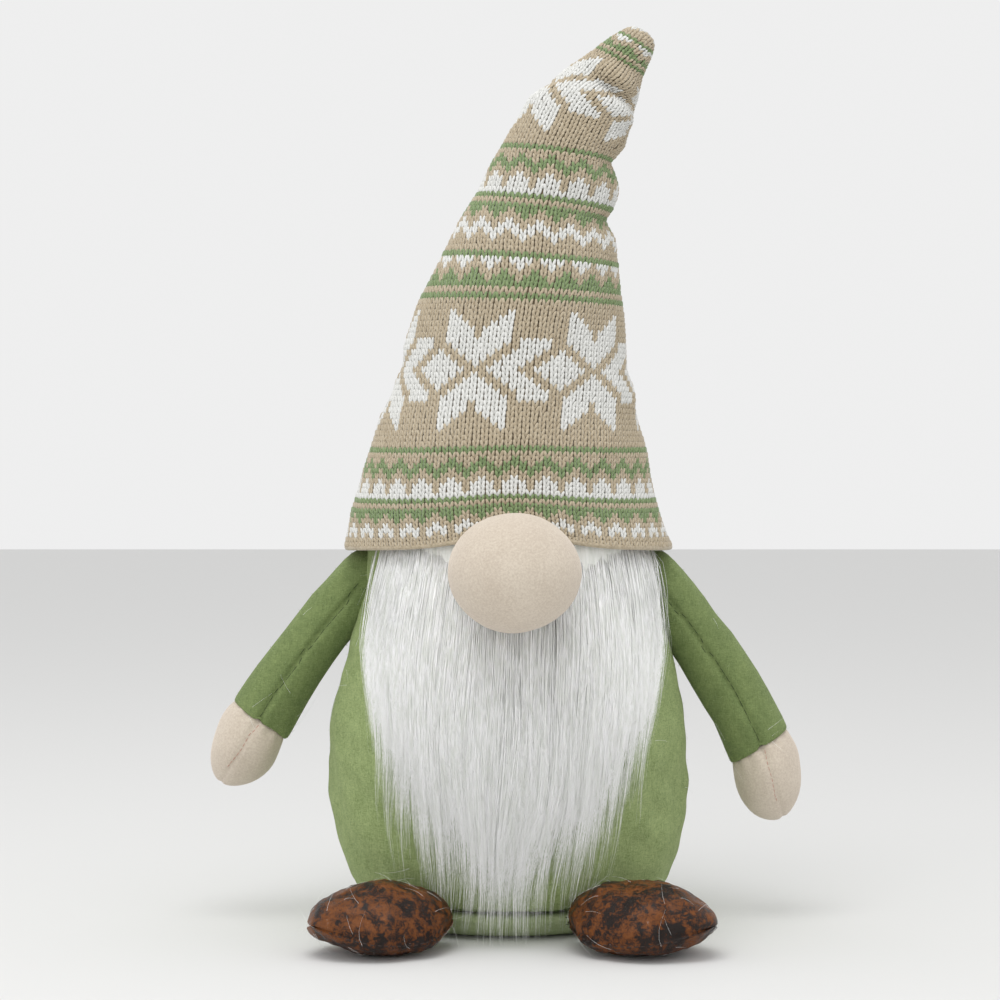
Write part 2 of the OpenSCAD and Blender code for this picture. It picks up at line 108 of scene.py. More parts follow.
def piece(name, bm, *materials):
    """Turns a bmesh that was modelled in millimetres into a smooth-shaded object."""
    bmesh.ops.scale(bm, vec=(MM, MM, MM), verts=bm.verts)
    for face in bm.faces:
        face.smooth = True
    mesh = bpy.data.meshes.new(name)
    bm.to_mesh(mesh)
    bm.free()
    for material in materials:
        mesh.materials.append(material)
    made = bpy.data.objects.new(name, mesh)
    bpy.context.collection.objects.link(made)
    return made


# Matt laminate: an even pale ground with no gloss, so that it only shows the soft shadows.
table_white, shader = new_material("white_table")
shader.inputs["Base Color"].default_value = colour("#dededd")
shader.inputs["Roughness"].default_value = 0.9
bm = bmesh.new()
bmesh.ops.create_grid(bm, x_segments=1, y_segments=1, size=4000)
table = piece("table", bm, table_white)
table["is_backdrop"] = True

world = bpy.data.worlds.new("white_tent")
bpy.context.scene.world = world
world.use_nodes = True
world.node_tree.nodes["Background"].inputs["Color"].default_value = colour("#ffffff")
world.node_tree.nodes["Background"].inputs["Strength"].default_value = 0.86
bpy.context.scene.view_settings.view_transform = "Standard"


def soft_light(name, at, towards, size, watts):
    """A square soft box, at and towards in millimetres."""
    lamp = bpy.data.objects.new(name, bpy.data.lights.new(name, "AREA"))
    bpy.context.collection.objects.link(lamp)
    lamp.data.size = size * MM
    lamp.data.energy = watts
    lamp.location = Vector(at) * MM
    aim = (Vector(towards) - Vector(at)).to_track_quat("-Z", "Y")
    lamp.rotation_euler = aim.to_euler()


soft_light("light_above", (-150, -450, 1400), (0, 0, 180), 900, 7.5)
soft_light("light_front", (-350, -1500, 700), (0, 0, 160), 900, 3.5)

# ---- The felt sack ----------------------------------------------------------
# Two panels of green craft felt, sewn at the sides and stuffed with polyester fibre. A
# round felt base is sewn in below, where the stuffing makes it roll up a little.

SACK_SIDE = [(66.4, 11.5), (71, 16), (74.4, 22.5), (77.8, 34), (81, 52), (82, 72), (80.4, 90), (76.6, 108),
             (71.5, 126), (67, 143), (65, 160), (63, 173), (56, 184), (42, 192), (22, 196.5)]


def smooth_curve(points, t):
    """Catmull-Rom through given points. The first column is the knot; the rest follow t."""
    table_of = np.asarray(points, float)
    knots = table_of[:, 0]
    t = np.clip(np.asarray(t, float), knots[0], knots[-1])
    k = np.clip(np.searchsorted(knots, t, side="right") - 1, 0, len(knots) - 2)
    slopes = np.gradient(table_of[:, 1:], knots, axis=0)
    span = knots[k + 1] - knots[k]
    s = ((t - knots[k]) / span)[..., None]
    span = span[..., None]
    a, b = table_of[k, 1:], table_of[k + 1, 1:]
    return ((2 * s**3 - 3 * s**2 + 1) * a + (s**3 - 2 * s**2 + s) * span * slopes[k]
            + (3 * s**2 - 2 * s**3) * b + (s**3 - s**2) * span * slopes[k + 1])


def sack_radius(z):
    return smooth_curve([(h, r) for r, h in SACK_SIDE], z)[..., 0]


def lumps(p, size, seed):
    """Smooth lumps about size across, between about -1 and 1, from crossing waves."""
    rng = np.random.default_rng(seed)
    total = 0
    for _ in range(9):
        way = rng.normal(size=3)
        way *= 2 * math.pi * rng.uniform(0.6, 1.4) / size / np.linalg.norm(way)
        total = total + np.sin(p @ way + rng.uniform(0, 2 * math.pi))
    return total / 4.5


def points_of(made):
    """A piece's vertices in millimetres, and its vertex normals."""
    mesh = made.data
    p = np.empty(len(mesh.vertices) * 3)
    n = np.empty_like(p)
    mesh.vertices.foreach_get("co", p)
    mesh.vertices.foreach_get("normal", n)
    return p.reshape(-1, 3) / MM, n.reshape(-1, 3)


def move_points(made, p):
    made.data.vertices.foreach_set("co", (p * MM).ravel())
    made.data.update()


def stuffed(made, voxel, pressure, cap):
    """Remeshes a cover, blows it up as cloth with its stuffing's pressure, and keeps the result."""
    start, _ = points_of(made)
    middle = start.mean(axis=0)
    move_points(made, middle + (start - middle) * (1 - 0.25 * cap / np.abs(start - middle).max()))
    remesh = made.modifiers.new("remesh", "REMESH")
    remesh.mode = "VOXEL"
    remesh.voxel_size = voxel * MM
    apply_modifiers(made)
    before, _ = points_of(made)
    cloth = made.modifiers.new("cloth", "CLOTH")
    cloth.settings.use_pressure = True
    cloth.settings.uniform_pressure_force = pressure
    cloth.settings.effector_weights.gravity = 0
    cloth.settings.quality = 5
    for step in range(1, 21):
        bpy.context.scene.frame_set(step)
    apply_modifiers(made)
    bpy.context.scene.frame_set(1)
    after, _ = points_of(made)
    move = after - before
    far = np.linalg.norm(move, axis=1, keepdims=True)
    move_points(made, before + move * np.minimum(1, cap / np.maximum(far, 1e-6)))


def apply_modifiers(made):
    shown = made.evaluated_get(bpy.context.evaluated_depsgraph_get())
    mesh = bpy.data.meshes.new_from_object(shown)
    old = made.data
    made.modifiers.clear()
    made.data = mesh
    bpy.data.meshes.remove(old)
    mesh.shade_smooth()


def subdivided(made, levels):
    """Adds Catmull-Clark levels and keeps them, so that later shaping has points to move."""
    finer = made.modifiers.new("finer", "SUBSURF")
    finer.levels = finer.render_levels = levels
    apply_modifiers(made)


def turned(outline, sides):
    """A closed solid of revolution about Z from (radius, height) pairs, listed bottom to top."""
    bm = bmesh.new()
    line = [bm.verts.new((r, 0, z)) for r, z in outline]
    edges = [bm.edges.new(pair) for pair in zip(line, line[1:])]
    bmesh.ops.spin(bm, geom=line + edges, cent=(0, 0, 0), axis=(0, 0, 1), angle=2 * math.pi,
                   steps=sides, use_merge=True)
    bmesh.ops.remove_doubles(bm, verts=bm.verts, dist=0.001)
    bmesh.ops.recalc_face_normals(bm, faces=bm.faces)
    return bm


def felt(name, code, deep_code):
    """Pressed wool-blend felt: dull, mottled, and matted with short crossing fibres.

    Single fibres are too fine to show, so tufts of 2.4 mm stand for them.
    """
    material, shader = new_material(name)
    place = add(material, "ShaderNodeTexCoord").outputs["Object"]
    mottle = add(material, "ShaderNodeTexNoise", {"Vector": place},
                 {"Scale": 1 / (9 * MM), "Detail": 5.0, "Roughness": 0.6})
    fibre_a = add(material, "ShaderNodeMapping", {"Vector": place}, {"Scale": (1.0, 1.0, 6.0)})
    fibre_b = add(material, "ShaderNodeMapping", {"Vector": place},
                  {"Scale": (6.0, 1.0, 1.0), "Rotation": (0.3, 0.5, 0.8)})
    warp = add(material, "ShaderNodeTexNoise", {"Vector": fibre_a.outputs[0]},
               {"Scale": 1 / (2.4 * MM), "Detail": 4.0, "Roughness": 0.75, "Distortion": 1.2})
    weft = add(material, "ShaderNodeTexNoise", {"Vector": fibre_b.outputs[0]},
               {"Scale": 1 / (2.4 * MM), "Detail": 4.0, "Roughness": 0.75, "Distortion": 1.2})
    fibres = add(material, "ShaderNodeMix", {"A": warp.outputs[0], "B": weft.outputs[0]},
                 {"Factor": 0.5})
    both = add(material, "ShaderNodeMix", {"A": fibres.outputs[0], "B": mottle.outputs[0]},
               {"Factor": 0.16})
    ramp = add(material, "ShaderNodeValToRGB", {"Fac": both.outputs[0]})
    ramp.color_ramp.elements[0].position = 0.40
    ramp.color_ramp.elements[0].color = colour(deep_code)
    ramp.color_ramp.elements[1].position = 0.60
    ramp.color_ramp.elements[1].color = colour(code)
    bump = add(material, "ShaderNodeBump", {"Height": fibres.outputs[0]},
               {"Strength": 0.9, "Distance": 0.6 * MM})
    material.node_tree.links.new(ramp.outputs[0], shader.inputs["Base Color"])
    material.node_tree.links.new(bump.outputs[0], shader.inputs["Normal"])
    shader.inputs["Roughness"].default_value = 0.95
    shader.inputs["Sheen Weight"].default_value = 0.25
    shader.inputs["Sheen Roughness"].default_value = 0.5
    shader.inputs["Sheen Tint"].default_value = colour("#c4d69a")
    return material


green_felt = felt("green_felt", "#a4b37b", "#6b7e48")
side_line = [(float(sack_radius(z)), float(z)) for z in np.linspace(11.5, 196.5, 54)]
bm = turned([(0, 12.2), (40, 12)] + side_line + [(0, 198)], 96)
sack = piece("sack", bm, green_felt)
stuffed(sack, 4.5, 4.0, 3.0)
subdivided(sack, 1)
p, _ = points_of(sack)
radius = np.hypot(p[:, 0], p[:, 1])
round_at = np.arctan2(p[:, 1], p[:, 0])
side_seam_pinch = np.exp(-(p[:, 1] / 2.2) ** 2) * (radius > 30)
base_pinch = np.exp(-((p[:, 2] - 11.5) / 2.5) ** 2)
pucker = np.exp(-((p[:, 2] - 16) / 6) ** 2) * np.sin(round_at * 34 + 2 * np.sin(round_at * 5))
push = (1.7 * lumps(p, 55, 1) + 0.7 * lumps(p, 19, 2) - 1.5 * side_seam_pinch
        - 1.2 * base_pinch + 0.45 * pucker)
p[:, :2] *= (1 + push * (radius > 20) / np.maximum(radius, 20))[:, None]
move_points(sack, p)
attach(sack, "root")
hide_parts("body_front", "body_back", "body_fill")

# A paler copy of the green felt: painted light from the white table below, which brightens the base.
base_felt = felt("base_felt", "#a9b68a", "#85946a")
BASE_SIDE = [(0, 0), (44, 0), (52, 0.5), (58, 2.2), (62.6, 4.9), (65.6, 8.4), (66.2, 10.8), (60, 11.6),
             (0, 11.8)]
bm = turned(BASE_SIDE, 96)
base_panel = piece("base_panel", bm, base_felt)
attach(base_panel, "root")
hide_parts("base_disc")


def copies(name, bm, count, *materials):
    """One object that holds count copies of a small shape, and its (copy, vertex, 3) points."""
    shape = piece(name, bm, *materials)
    repeat = shape.modifiers.new("repeat", "ARRAY")
    repeat.count = count
    repeat.use_relative_offset = False
    repeat.use_constant_offset = True
    repeat.constant_offset_displace = (0, 0, 0)
    apply_modifiers(shape)
    p, _ = points_of(shape)
    return shape, p.reshape(count, -1, 3)


def thread_stitches(name, middles, ways, length, width, material):
    """A row of short sewn stitches, each lying along its own direction."""
    bm = bmesh.new()
    bmesh.ops.create_uvsphere(bm, u_segments=6, v_segments=5, radius=0.5)
    made, p = copies(name, bm, len(middles), material)
    for i, (middle, way) in enumerate(zip(middles, ways)):
        turn = np.array(Vector((0, 0, 1)).rotation_difference(Vector(way)).to_matrix())
        p[i] = (p[i] * (width, width, length)) @ turn.T + middle
    move_points(made, p.reshape(-1, 3))
    return made


def thread(name, code):
    """Twisted polyester sewing thread: a fine ply with a slight gloss."""
    material, shader = new_material(name)
    place = add(material, "ShaderNodeTexCoord").outputs["Object"]
    ply = add(material, "ShaderNodeTexNoise", {"Vector": place}, {"Scale": 1 / (0.4 * MM), "Detail": 2.0})
    bump = add(material, "ShaderNodeBump", {"Height": ply.outputs[0]},
               {"Strength": 0.5, "Distance": 0.1 * MM})
    material.node_tree.links.new(bump.outputs[0], shader.inputs["Normal"])
    shader.inputs["Base Color"].default_value = colour(code)
    shader.inputs["Roughness"].default_value = 0.6
    return material


green_thread = thread("green_thread", "#36441f")
# A paler copy of the green thread for the base seam: painted light that offsets the shade of the recess it lies
# in.
green_thread_painted_light = thread("green_thread_painted_light", "#5a6c3c")


def at_surface(made, points, lift):
    """The nearest places on a piece to some points, lifted off it. All in millimetres."""
    found = []
    for point in points:
        _, where, normal, _ = made.closest_point_on_mesh(Vector(point) * MM)
        found.append(np.array(where) / MM + np.array(normal) * lift)
    return np.array(found)


around = np.radians(np.arange(0, 360, 6.0))
BASE_SEAM_R, BASE_SEAM_Z = 66, 11.4
ring = np.stack([BASE_SEAM_R * np.cos(around), BASE_SEAM_R * np.sin(around),
                 np.full_like(around, BASE_SEAM_Z)], axis=1)
ring_ways = np.stack([-np.sin(around), np.cos(around), 0 * around], axis=1)
seam = thread_stitches("base_seam_thread", at_surface(sack, ring, 0.1), ring_ways, 3.4, 0.5,
                       green_thread_painted_light)
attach(seam, "root")
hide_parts("base_seam")
heights = np.arange(18, 96, 5.0)
for side, name in ((1, "left"), (-1, "right")):
    line = np.stack([side * sack_radius(heights), 0 * heights, heights], axis=1)
    seam = thread_stitches("side_seam_thread_" + name, at_surface(sack, line, 0.1),
                           np.tile((0, 0, 1.0), (len(line), 1)), 3.2, 0.6, green_thread)
    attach(seam, "root")
    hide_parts("side_seam_" + name)

# ---- Arms and hands ---------------------------------------------------------
# Each sleeve is a tube of the same felt, painted darker as shade from the hat's brim, and sewn up its front,
# so that the seam shows as a dark crease. The hand is beige flannel, sewn into the cuff and closed by the same
# seam.

SHOULDER = (66.0, 0.0, 151.0)
HANG = {"left": 32.3, "right": 36.0}
SLEEVE = {"left": 86.0, "right": 76.0}
# How far the arm bows outwards, how far the hand curls back in, and how plump the arm is.
ARM_CURVE = {"left": (3.2, 7.0, 1.06), "right": (2.6, 1.0, 1.02)}
SLEEVE_SIDE = [(0, -16.6), (5.6, -15.2), (10.2, -11.4), (12.6, -5), (12.6, 8), (12.7, 26), (13.3, 48),
               (14, 68)]


def flannel(name, code, deep_code):
    """Brushed cotton flannel: a short soft nap that clouds the colour a little.

    Its nap is too fine to show, so it is drawn at 0.9 mm.
    """
    material, shader = new_material(name)
    place = add(material, "ShaderNodeTexCoord").outputs["Object"]
    nap = add(material, "ShaderNodeTexNoise", {"Vector": place},
              {"Scale": 1 / (0.9 * MM), "Detail": 6.0, "Roughness": 0.7})
    cloud = add(material, "ShaderNodeTexNoise", {"Vector": place}, {"Scale": 1 / (14 * MM), "Detail": 3.0})
    both = add(material, "ShaderNodeMix", {"A": nap.outputs[0], "B": cloud.outputs[0]}, {"Factor": 0.2})
    ramp = add(material, "ShaderNodeValToRGB", {"Fac": both.outputs[0]})
    ramp.color_ramp.elements[0].position = 0.4
    ramp.color_ramp.elements[0].color = colour(deep_code)
    ramp.color_ramp.elements[1].position = 0.6
    ramp.color_ramp.elements[1].color = colour(code)
    bump = add(material, "ShaderNodeBump", {"Height": nap.outputs[0]},
               {"Strength": 0.4, "Distance": 0.35 * MM})
    material.node_tree.links.new(ramp.outputs[0], shader.inputs["Base Color"])
    material.node_tree.links.new(bump.outputs[0], shader.inputs["Normal"])
    shader.inputs["Roughness"].default_value = 0.95
    shader.inputs["Sheen Weight"].default_value = 0.5
    shader.inputs["Sheen Roughness"].default_value = 0.6
    shader.inputs["Sheen Tint"].default_value = colour("#fff2e6")
    return material


skin_flannel = flannel("skin_flannel", "#cfc4b4", "#bdb0a0")
# A darker copy of the green felt: painted shade of the hat's brim over the arms, not a different cloth.
sleeve_felt_painted_shade = felt("sleeve_felt_painted_shade", "#86965e", "#56683a")
pink_thread = thread("pink_thread", "#b98f80")
sleeves = {}
for side, name in ((1, "left"), (-1, "right")):
    length = SLEEVE[name]
    hung = Matrix.Translation(SHOULDER) @ Matrix.Rotation(math.radians(180 - HANG[name]), 4, "Y")
    to_figure = np.array(Matrix.Diagonal((side, 1, 1, 1)) @ hung)

    def hang(p):
        """Bends the straight arm, whose +Z runs to the hand, and hangs it on the figure."""
        outwards, curl, plump = ARM_CURVE[name]
        p = p * (plump, plump, 1)
        along = p[:, 2] / length
        p[:, 0] += (curl * np.clip((along - 0.75) / 0.6, 0, 2) ** 2
                    - outwards * np.sin(np.clip(along, 0, 1.2) * 2.6))
        return p @ to_figure[:3, :3].T + to_figure[:3, 3]

    cuff = [(14.3, length - 3), (14.3, length + 0.4), (13.6, length + 0.8), (12.8, length - 1), (0, length - 2)]
    outline = [(r, z) for r, z in SLEEVE_SIDE if z < length - 4]
    bm = turned(outline + cuff, 40)
    sleeve = piece("sleeve_cover_" + name, bm, sleeve_felt_painted_shade)
    subdivided(sleeve, 1)
    p, n = points_of(sleeve)
    crease = np.exp(-(p[:, 0] / 1.3) ** 2) * (p[:, 1] < 0) * np.clip((p[:, 2] + 4) / 8, 0, 1)
    armpit = 0.5 * np.exp(-((p[:, 2] - 8) / 14) ** 2)
    p += n * (0.7 * lumps(p, 24, 11 + side) + 0.8 * armpit * lumps(p, 9, 3) - 1.6 * crease)[:, None]
    move_points(sleeve, hang(p))
    if side < 0:
        sleeve.data.flip_normals()

    palm = [(0, -3), (11.6, -2.4), (13.2, 0.3), (14.6, 4), (15.3, 9), (15.3, 14), (14.2, 20), (11.8, 26),
            (8.2, 30.6), (4.2, 33.2), (0, 34)]
    bm = turned([(r, length + z) for r, z in palm], 40)
    hand = piece("hand_cover_" + name, bm, skin_flannel)
    subdivided(hand, 1)
    p, n = points_of(hand)
    crease = np.exp(-(p[:, 0] / 0.9) ** 2) * (p[:, 1] < 0)
    gather = np.exp(-((p[:, 2] - length - 1) / 4) ** 2) * np.sin(np.arctan2(p[:, 1], p[:, 0]) * 13)
    p += n * (0.5 * lumps(p, 18, 21 + side) - 0.6 * crease + 0.35 * gather)[:, None]
    move_points(hand, hang(p))
    if side < 0:
        hand.data.flip_normals()

    down = np.arange(2, length - 2, 4.2)
    line = np.stack([0 * down, np.full_like(down, -13.0), down], axis=1)
    on_sleeve = at_surface(sleeve, hang(line), -0.05)
    ways = np.gradient(on_sleeve, axis=0)
    sewn = thread_stitches("sleeve_seam_thread_" + name, on_sleeve,
                           ways / np.linalg.norm(ways, axis=1, keepdims=True), 4.3, 0.45, green_thread)
    along_palm = np.arange(2, 28, 2.6)
    line = np.stack([0 * along_palm, np.full_like(along_palm, -15.0), length + along_palm], axis=1)
    on_palm = at_surface(hand, hang(line), -0.1)
    ways = np.gradient(on_palm, axis=0)
    sewn_hand = thread_stitches("hand_seam_thread_" + name, on_palm,
                                ways / np.linalg.norm(ways, axis=1, keepdims=True), 2.3, 0.5, pink_thread)
    for made, nodes, slot in ((sleeve, ("sleeve_", "arm_fill_"), "green_felt"),
                              (hand, ("hand_",), "skin_flannel"),
                              (sewn, ("sleeve_seam_",), "green_thread"),
                              (sewn_hand, ("hand_seam_",), "pink_thread")):
        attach(made, name + "_arm")
        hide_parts(*(node + name for node in nodes))
    sleeves[name] = sleeve

# ---- Nose -------------------------------------------------------------------
# A ball of the same flannel, gathered shut at the back around its stuffing and sewn
# through the fur to the head.

NOSE_AT = np.array((2.0, -92.7, 160.0))
bm = bmesh.new()
bmesh.ops.create_uvsphere(bm, u_segments=48, v_segments=32, radius=1)
bmesh.ops.scale(bm, vec=(28.5, 25, 25.4), verts=bm.verts)
bmesh.ops.translate(bm, vec=NOSE_AT, verts=bm.verts)
nose = piece("nose", bm, skin_flannel)
stuffed(nose, 3.0, 4.0, 1.2)
subdivided(nose, 1)
p, n = points_of(nose)
gather = np.clip((p[:, 1] - NOSE_AT[1] - 12) / 13, 0, 1)
spokes = np.sin(np.arctan2(p[:, 2] - NOSE_AT[2], p[:, 0] - NOSE_AT[0]) * 12)
p += n * (0.35 * lumps(p, 30, 31) + 0.9 * gather * spokes)[:, None]
move_points(nose, p)
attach(nose, "root")
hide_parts("nose_cover", "nose_fill")

# ---- Knitted hat ------------------------------------------------------------
# Machine-knitted acrylic jersey in tan, white and moss green: one tapering tube, hemmed at
# the brim and stuffed round a bendable wire that folds the tip. Its stitches are made as a
# front half and a back half that meet at the sides.

# The width of a knitted column, a little wider than the real 3.2 mm, and what a stitch's
# length is divided by to fill one row.
WALE = 3.45
ROW_HEIGHT = 2.3
# Each row gives the knitted row, then the ring's centre, its radius and its tilt in degrees.
HAT_RINGS = [
    (0, -0.4, 168.4, 72.8, 0.0), (3, -0.9, 174.2, 70.7, 0.0), (8, -1.6, 184.6, 67.8, 0.0),
    (14, -1.4, 197.5, 64.2, 0.0), (20, -0.6, 211.0, 61.1, 0.0), (25, 0.2, 223.4, 57.0, 0.2),
    (30, 1.3, 235.8, 53.0, 0.5), (37, 2.4, 253.4, 49.3, 1.0), (46, 5.5, 275.4, 44.8, 2.0),
    (55, 10.7, 298.4, 37.8, 4.0), (61, 13.4, 312.6, 33.1, 6.0), (65, 16.2, 321.6, 30.5, 6.0),
    (69, 19.2, 330.8, 29.6, 6.0), (74, 21.2, 341.2, 26.4, 6.5), (80, 27.2, 353.0, 24.5, 10.5),
    (86, 33.0, 363.0, 22.3, 17.5), (92, 39.1, 371.6, 17.9, 23.0), (98, 45.3, 379.3, 13.7, 28.0),
    (104, 51.5, 387.3, 10.6, 31.0), (109, 56.5, 392.7, 8.2, 32.0), (112, 59.6, 396.2, 5.4, 34.0),
    (114, 60.8, 397.6, 0.6, 34.0),
]
# Folds of the cloth: row and side angle of the middle, rows and degrees it spreads, slope, height.
HAT_FOLDS = [
    (62.5, 85, 2.0, 40, 0.02, -2.8), (58.5, 80, 2.5, 35, 0.02, 1.2), (67.0, 78, 3.0, 40, 0.02, 1.2),
    (74.5, 88, 1.8, 35, 0.02, -2.2), (79.0, 80, 2.5, 40, 0.02, 1.2), (92.5, 20, 2.0, 42, -0.03, -4.6),
    (88.5, 15, 2.6, 45, -0.03, 1.8), (96.5, 30, 2.4, 45, -0.03, 1.8), (85.0, -60, 3.0, 35, 0.04, 1.4),
    (89.0, -75, 2.2, 30, 0.04, -1.8), (30.5, 95, 2.5, 35, 0.0, 1.6), (26.0, -95, 3.0, 35, 0.0, 1.4),
    (35.0, -90, 2.0, 30, 0.0, -1.4), (101.0, 0, 1.6, 60, 0.0, -1.2),
]


def hat_place(angle, row):
    """Where the cloth of the hat is, for an angle round from the front and a knitted row."""
    x, z, r, tilt = np.moveaxis(smooth_curve(HAT_RINGS, row), -1, 0)
    degrees = np.degrees(np.arctan2(np.sin(angle), np.cos(angle)))
    for middle, side, rows, spread, slope, height in HAT_FOLDS:
        off = (degrees - side + 180) % 360 - 180
        r = r + height * np.exp(-((row - middle - slope * off) / rows) ** 2 - (off / spread) ** 2)
    tilt = np.radians(tilt)
    out = np.stack([x + r * np.sin(angle) * np.cos(tilt), -r * np.cos(angle),
                    z - r * np.sin(angle) * np.sin(tilt)], axis=-1)
    fade = np.clip((112 - row) / 10, 0, 1)[..., None]
    outwards = np.stack([np.sin(angle), -np.cos(angle), 0 * angle], axis=-1)
    out = out + fade * (0.9 * lumps(out, 60, 41) + 0.35 * lumps(out, 21, 42))[..., None] * outwards
    lift = 6.5 * np.exp(-((out[..., 0] - 2) / 30) ** 2) * np.exp(-np.maximum(row, 0) / 12)
    out[..., 2] += (lift * (np.cos(angle) > 0)
                    - 1.6 * np.exp(-np.maximum(row, 0) / 6) * np.abs(np.sin(angle)) ** 6)
    return out


def hat_radius(row):
    return smooth_curve(HAT_RINGS, row)[..., 2]


def knit_surface(across, row, lift, back):
    """Places flat knitting on the hat. across is in millimetres from the panel's centre line."""
    twist = 0.30 * np.clip((row - 50) / 35, 0, 1)
    angle = across / np.maximum(hat_radius(row), 0.5) + (math.pi if back else 0.0) - twist
    here = hat_place(angle, row)
    step = 0.02
    sideways = hat_place(angle + step, row) - here
    upwards = hat_place(angle, row + 0.2) - here
    normal = np.cross(sideways, upwards)
    normal /= np.maximum(np.linalg.norm(normal, axis=-1, keepdims=True), 1e-9)
    return here + normal * lift[..., None]


# The chart, brim to tip: T is tan, W white and G green, as one repeat of four columns. An
# entry with a * is a row of the stars, counted from their centre.
PLAIN = ["TTTT"]
PEAKS = ["WWWW", "WWTW", "WWTW", "WTTT", "TTGT", "TGGG", "GGTG", "GTTT", "TTTT", "GGGG"]
STAR = ["*%d" % k for k in range(-10, 11)]
MIDDLE = ["GGGG", "TTTT", "GGGG", "GGTG", "GTTT", "TTWT", "TWWW", "GGGG", "TTTT", "TTTT", "TTWT",
          "TWWW", "WWTW", "WTTT", "TTGT", "TGGG", "GGGG", "TTTT", "GGGG"]
CHART = (PLAIN * 2 + ["TWTW", "TWWW", "TTWT", "GTTT", "GGTG", "GGGG", "TTTT", "GGGG"] + PEAKS + PLAIN * 3
         + STAR + PLAIN * 2 + MIDDLE + PEAKS + PLAIN * 3 + STAR + PLAIN * 2 + MIDDLE)


def star_stitch(column, row):
    """The eight-pointed star's colour, for a column and a row counted from its centre."""
    c = (column + 8) % 16 - 8
    if abs(c) <= 4 and abs(c) + (1 if c or row else 1) <= abs(row) <= max(abs(c) + 6, 5) - (c == 0):
        return "W"
    leaf = (column - 11 + 8) % 16 - 8
    if abs(leaf) + abs(row) <= 3:
        return "W"
    arrow = (column + 2) % 16 - 2
    if 2 <= arrow <= 5 and abs(row) <= arrow - 2:
        return "W"
    if 6 <= arrow <= 9 and arrow - 5 <= abs(row) <= 5:
        return "W"
    return "T"


def chart_colour(column, row):
    code = CHART[row] if row < len(CHART) else "TTTT"
    if code[0] == "*":
        return star_stitch(column, int(code[1:]))
    return code[(column + 2) % 4]


def yarn(name, code, deep_code):
    """Soft acrylic yarn: faintly heathered, dull and fuzzy. Its fibres are drawn at 0.35 mm."""
    material, shader = new_material(name)
    place = add(material, "ShaderNodeTexCoord").outputs["Object"]
    heather = add(material, "ShaderNodeTexNoise", {"Vector": place},
                  {"Scale": 1 / (1.3 * MM), "Detail": 5.0, "Roughness": 0.7})
    ramp = add(material, "ShaderNodeValToRGB", {"Fac": heather.outputs[0]})
    ramp.color_ramp.elements[0].position = 0.35
    ramp.color_ramp.elements[0].color = colour(deep_code)
    ramp.color_ramp.elements[1].position = 0.6
    ramp.color_ramp.elements[1].color = colour(code)
    fibre = add(material, "ShaderNodeTexNoise", {"Vector": place},
                {"Scale": 1 / (0.35 * MM), "Detail": 3.0, "Roughness": 0.6})
    bump = add(material, "ShaderNodeBump", {"Height": fibre.outputs[0]},
               {"Strength": 0.5, "Distance": 0.15 * MM})
    material.node_tree.links.new(ramp.outputs[0], shader.inputs["Base Color"])
    material.node_tree.links.new(bump.outputs[0], shader.inputs["Normal"])
    shader.inputs["Roughness"].default_value = 0.9
    shader.inputs["Sheen Weight"].default_value = 0.3
    shader.inputs["Sheen Roughness"].default_value = 0.5
    return material


tan_yarn = yarn("tan_yarn", "#bbae96", "#a2937a")
white_yarn = yarn("white_yarn", "#dededb", "#c9c9c4")
green_yarn = yarn("green_yarn", "#84976a", "#677a4d")
YARNS = {"T": 0, "W": 1, "G": 2}


def stitch_shape():
    """One knitted stitch seen from its face: two plump legs that lean apart into a V."""
    bm = bmesh.new()
    for lean in (-1, 1):
        leg = bmesh.ops.create_uvsphere(bm, u_segments=6, v_segments=4, radius=1.0)["verts"]
        bmesh.ops.scale(bm, vec=(0.80, 0.62, 1.98), verts=leg)
        tip_in = Matrix.Rotation(math.radians(14), 3, "X")
        lean_out = Matrix.Rotation(math.radians(17 * lean), 3, "Y")
        bmesh.ops.rotate(bm, cent=(0, 0, 0), matrix=tip_in, verts=leg)
        bmesh.ops.rotate(bm, cent=(0, 0, 0), matrix=lean_out, verts=leg)
        bmesh.ops.translate(bm, vec=(0.80 * lean, 0, 0.35), verts=leg)
    return bm


def knit(name, first, last, back):
    """The stitches of one panel between two rows, each in its chart colour."""
    cells = []
    for row in range(first, last):
        reach = math.pi / 2 * float(hat_radius(row + 0.5)) / WALE + 0.35
        for column in range(-int(reach), int(reach) + 1):
            cells.append((column, row))
    made, p = copies(name, stitch_shape(), len(cells), tan_yarn, white_yarn, green_yarn)
    cells = np.array(cells)
    uneven = np.random.default_rng(first + 7 * back).normal(size=(3, len(cells), 1))
    across = cells[:, 0, None] * WALE + p[..., 0] * (1 + 0.05 * uneven[0]) + 0.10 * uneven[1]
    row = cells[:, 1, None] + 0.5 + p[..., 2] / ROW_HEIGHT
    move_points(made, knit_surface(across, row, 0.3 + 0.10 * uneven[2] - p[..., 1], back).reshape(-1, 3))
    slots = np.array([YARNS[chart_colour(int(c) + 5, int(r))] for c, r in cells], dtype=np.int32)
    faces_each = len(made.data.polygons) // len(cells)
    made.data.polygons.foreach_set("material_index", np.repeat(slots, faces_each))
    return made


